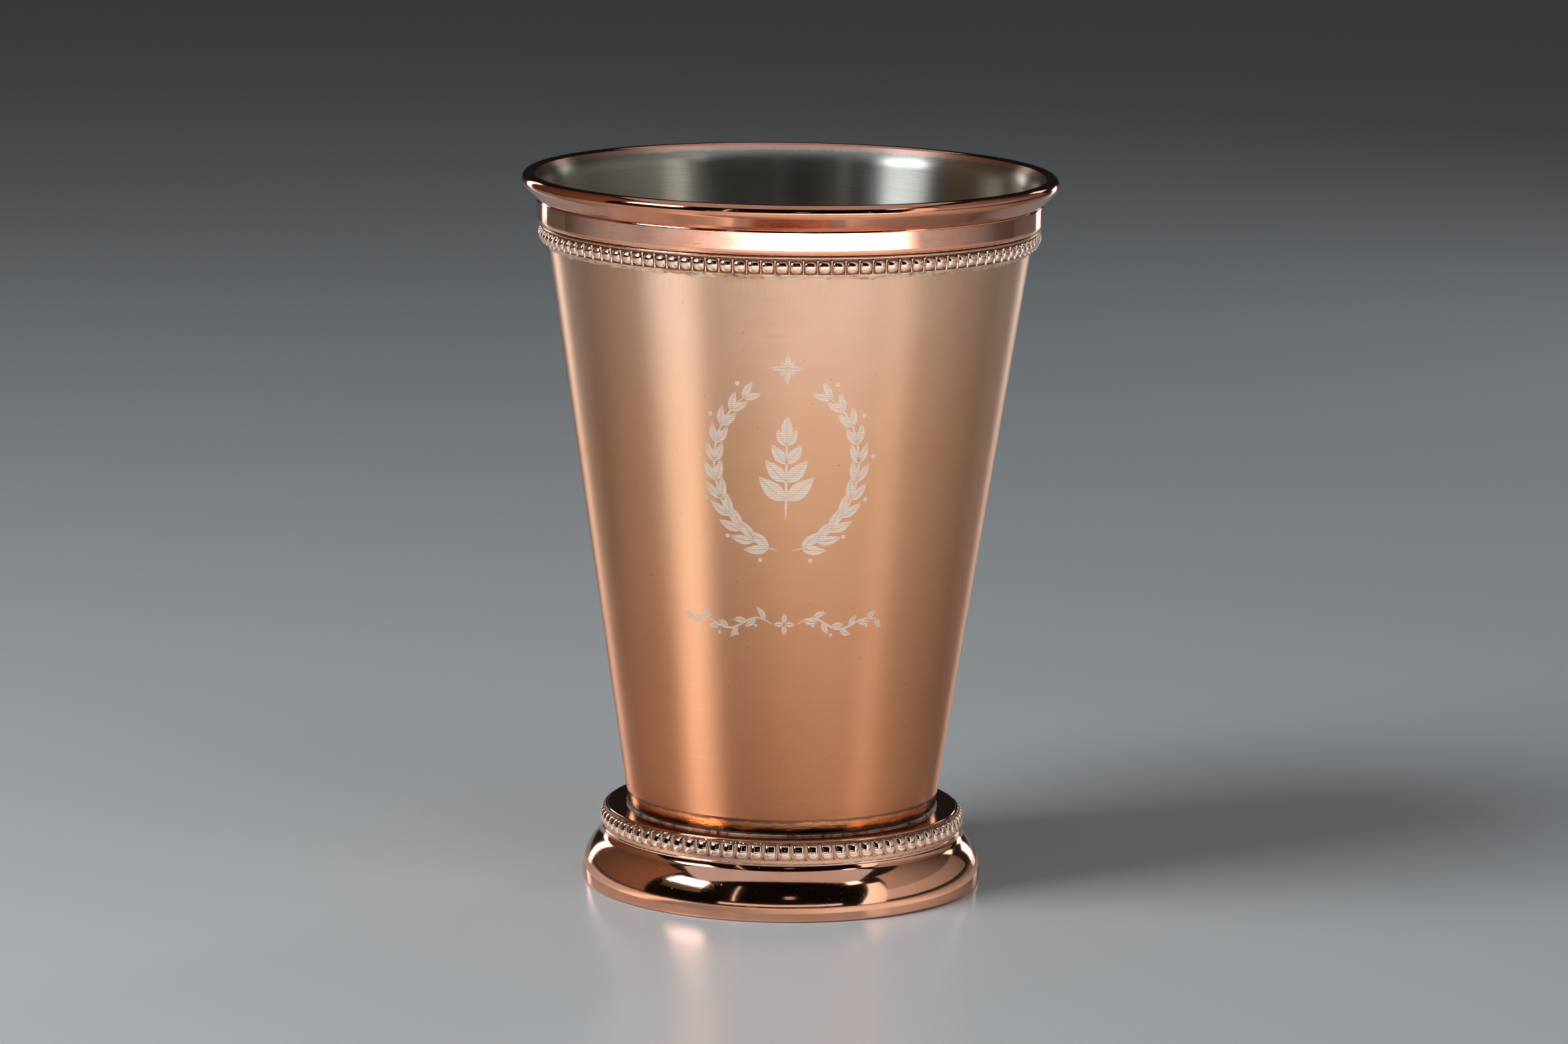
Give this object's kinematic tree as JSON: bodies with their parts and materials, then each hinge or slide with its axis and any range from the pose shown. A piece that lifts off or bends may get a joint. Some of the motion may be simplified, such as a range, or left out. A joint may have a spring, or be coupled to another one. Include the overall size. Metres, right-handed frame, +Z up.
{
  "type": "julep cup",
  "caption": "Tapered copper-plated metal cup with a rolled flared lip, a polished collar over a beaded wire, and a low hollow foot ringed with pearls.",
  "frame": {"origin": "centre of the circle that the foot rests on, in the resting plane", "axes": "+Z up along the cup's axis towards the lip; the decorated front faces -Y"},
  "size_m": [0.084, 0.084, 0.1126],
  "materials": {
    "plated_tumbler": "brushed copper plating outside, bare brushed steel inside",
    "polished_copper": "polished copper",
    "rim_beads": "polished pale copper, dark between the beads",
    "solder": "rough solder with green-grey residue",
    "foot_copper": "polished copper, lightly scratched",
    "foot_pearls": "polished pearls on a rough copper ground",
    "braze": "heat-darkened braze"
  },
  "bodies": {
    "root": {"tumbler_body": "plated_tumbler", "rim_collar": "polished_copper", "rim_bead_wire": "rim_beads", "rim_solder_seam": "solder", "foot_shell": "foot_copper", "foot_pearl_strip": "foot_pearls", "foot_braze_fillet": "braze"}
  },
  "joints": []
}
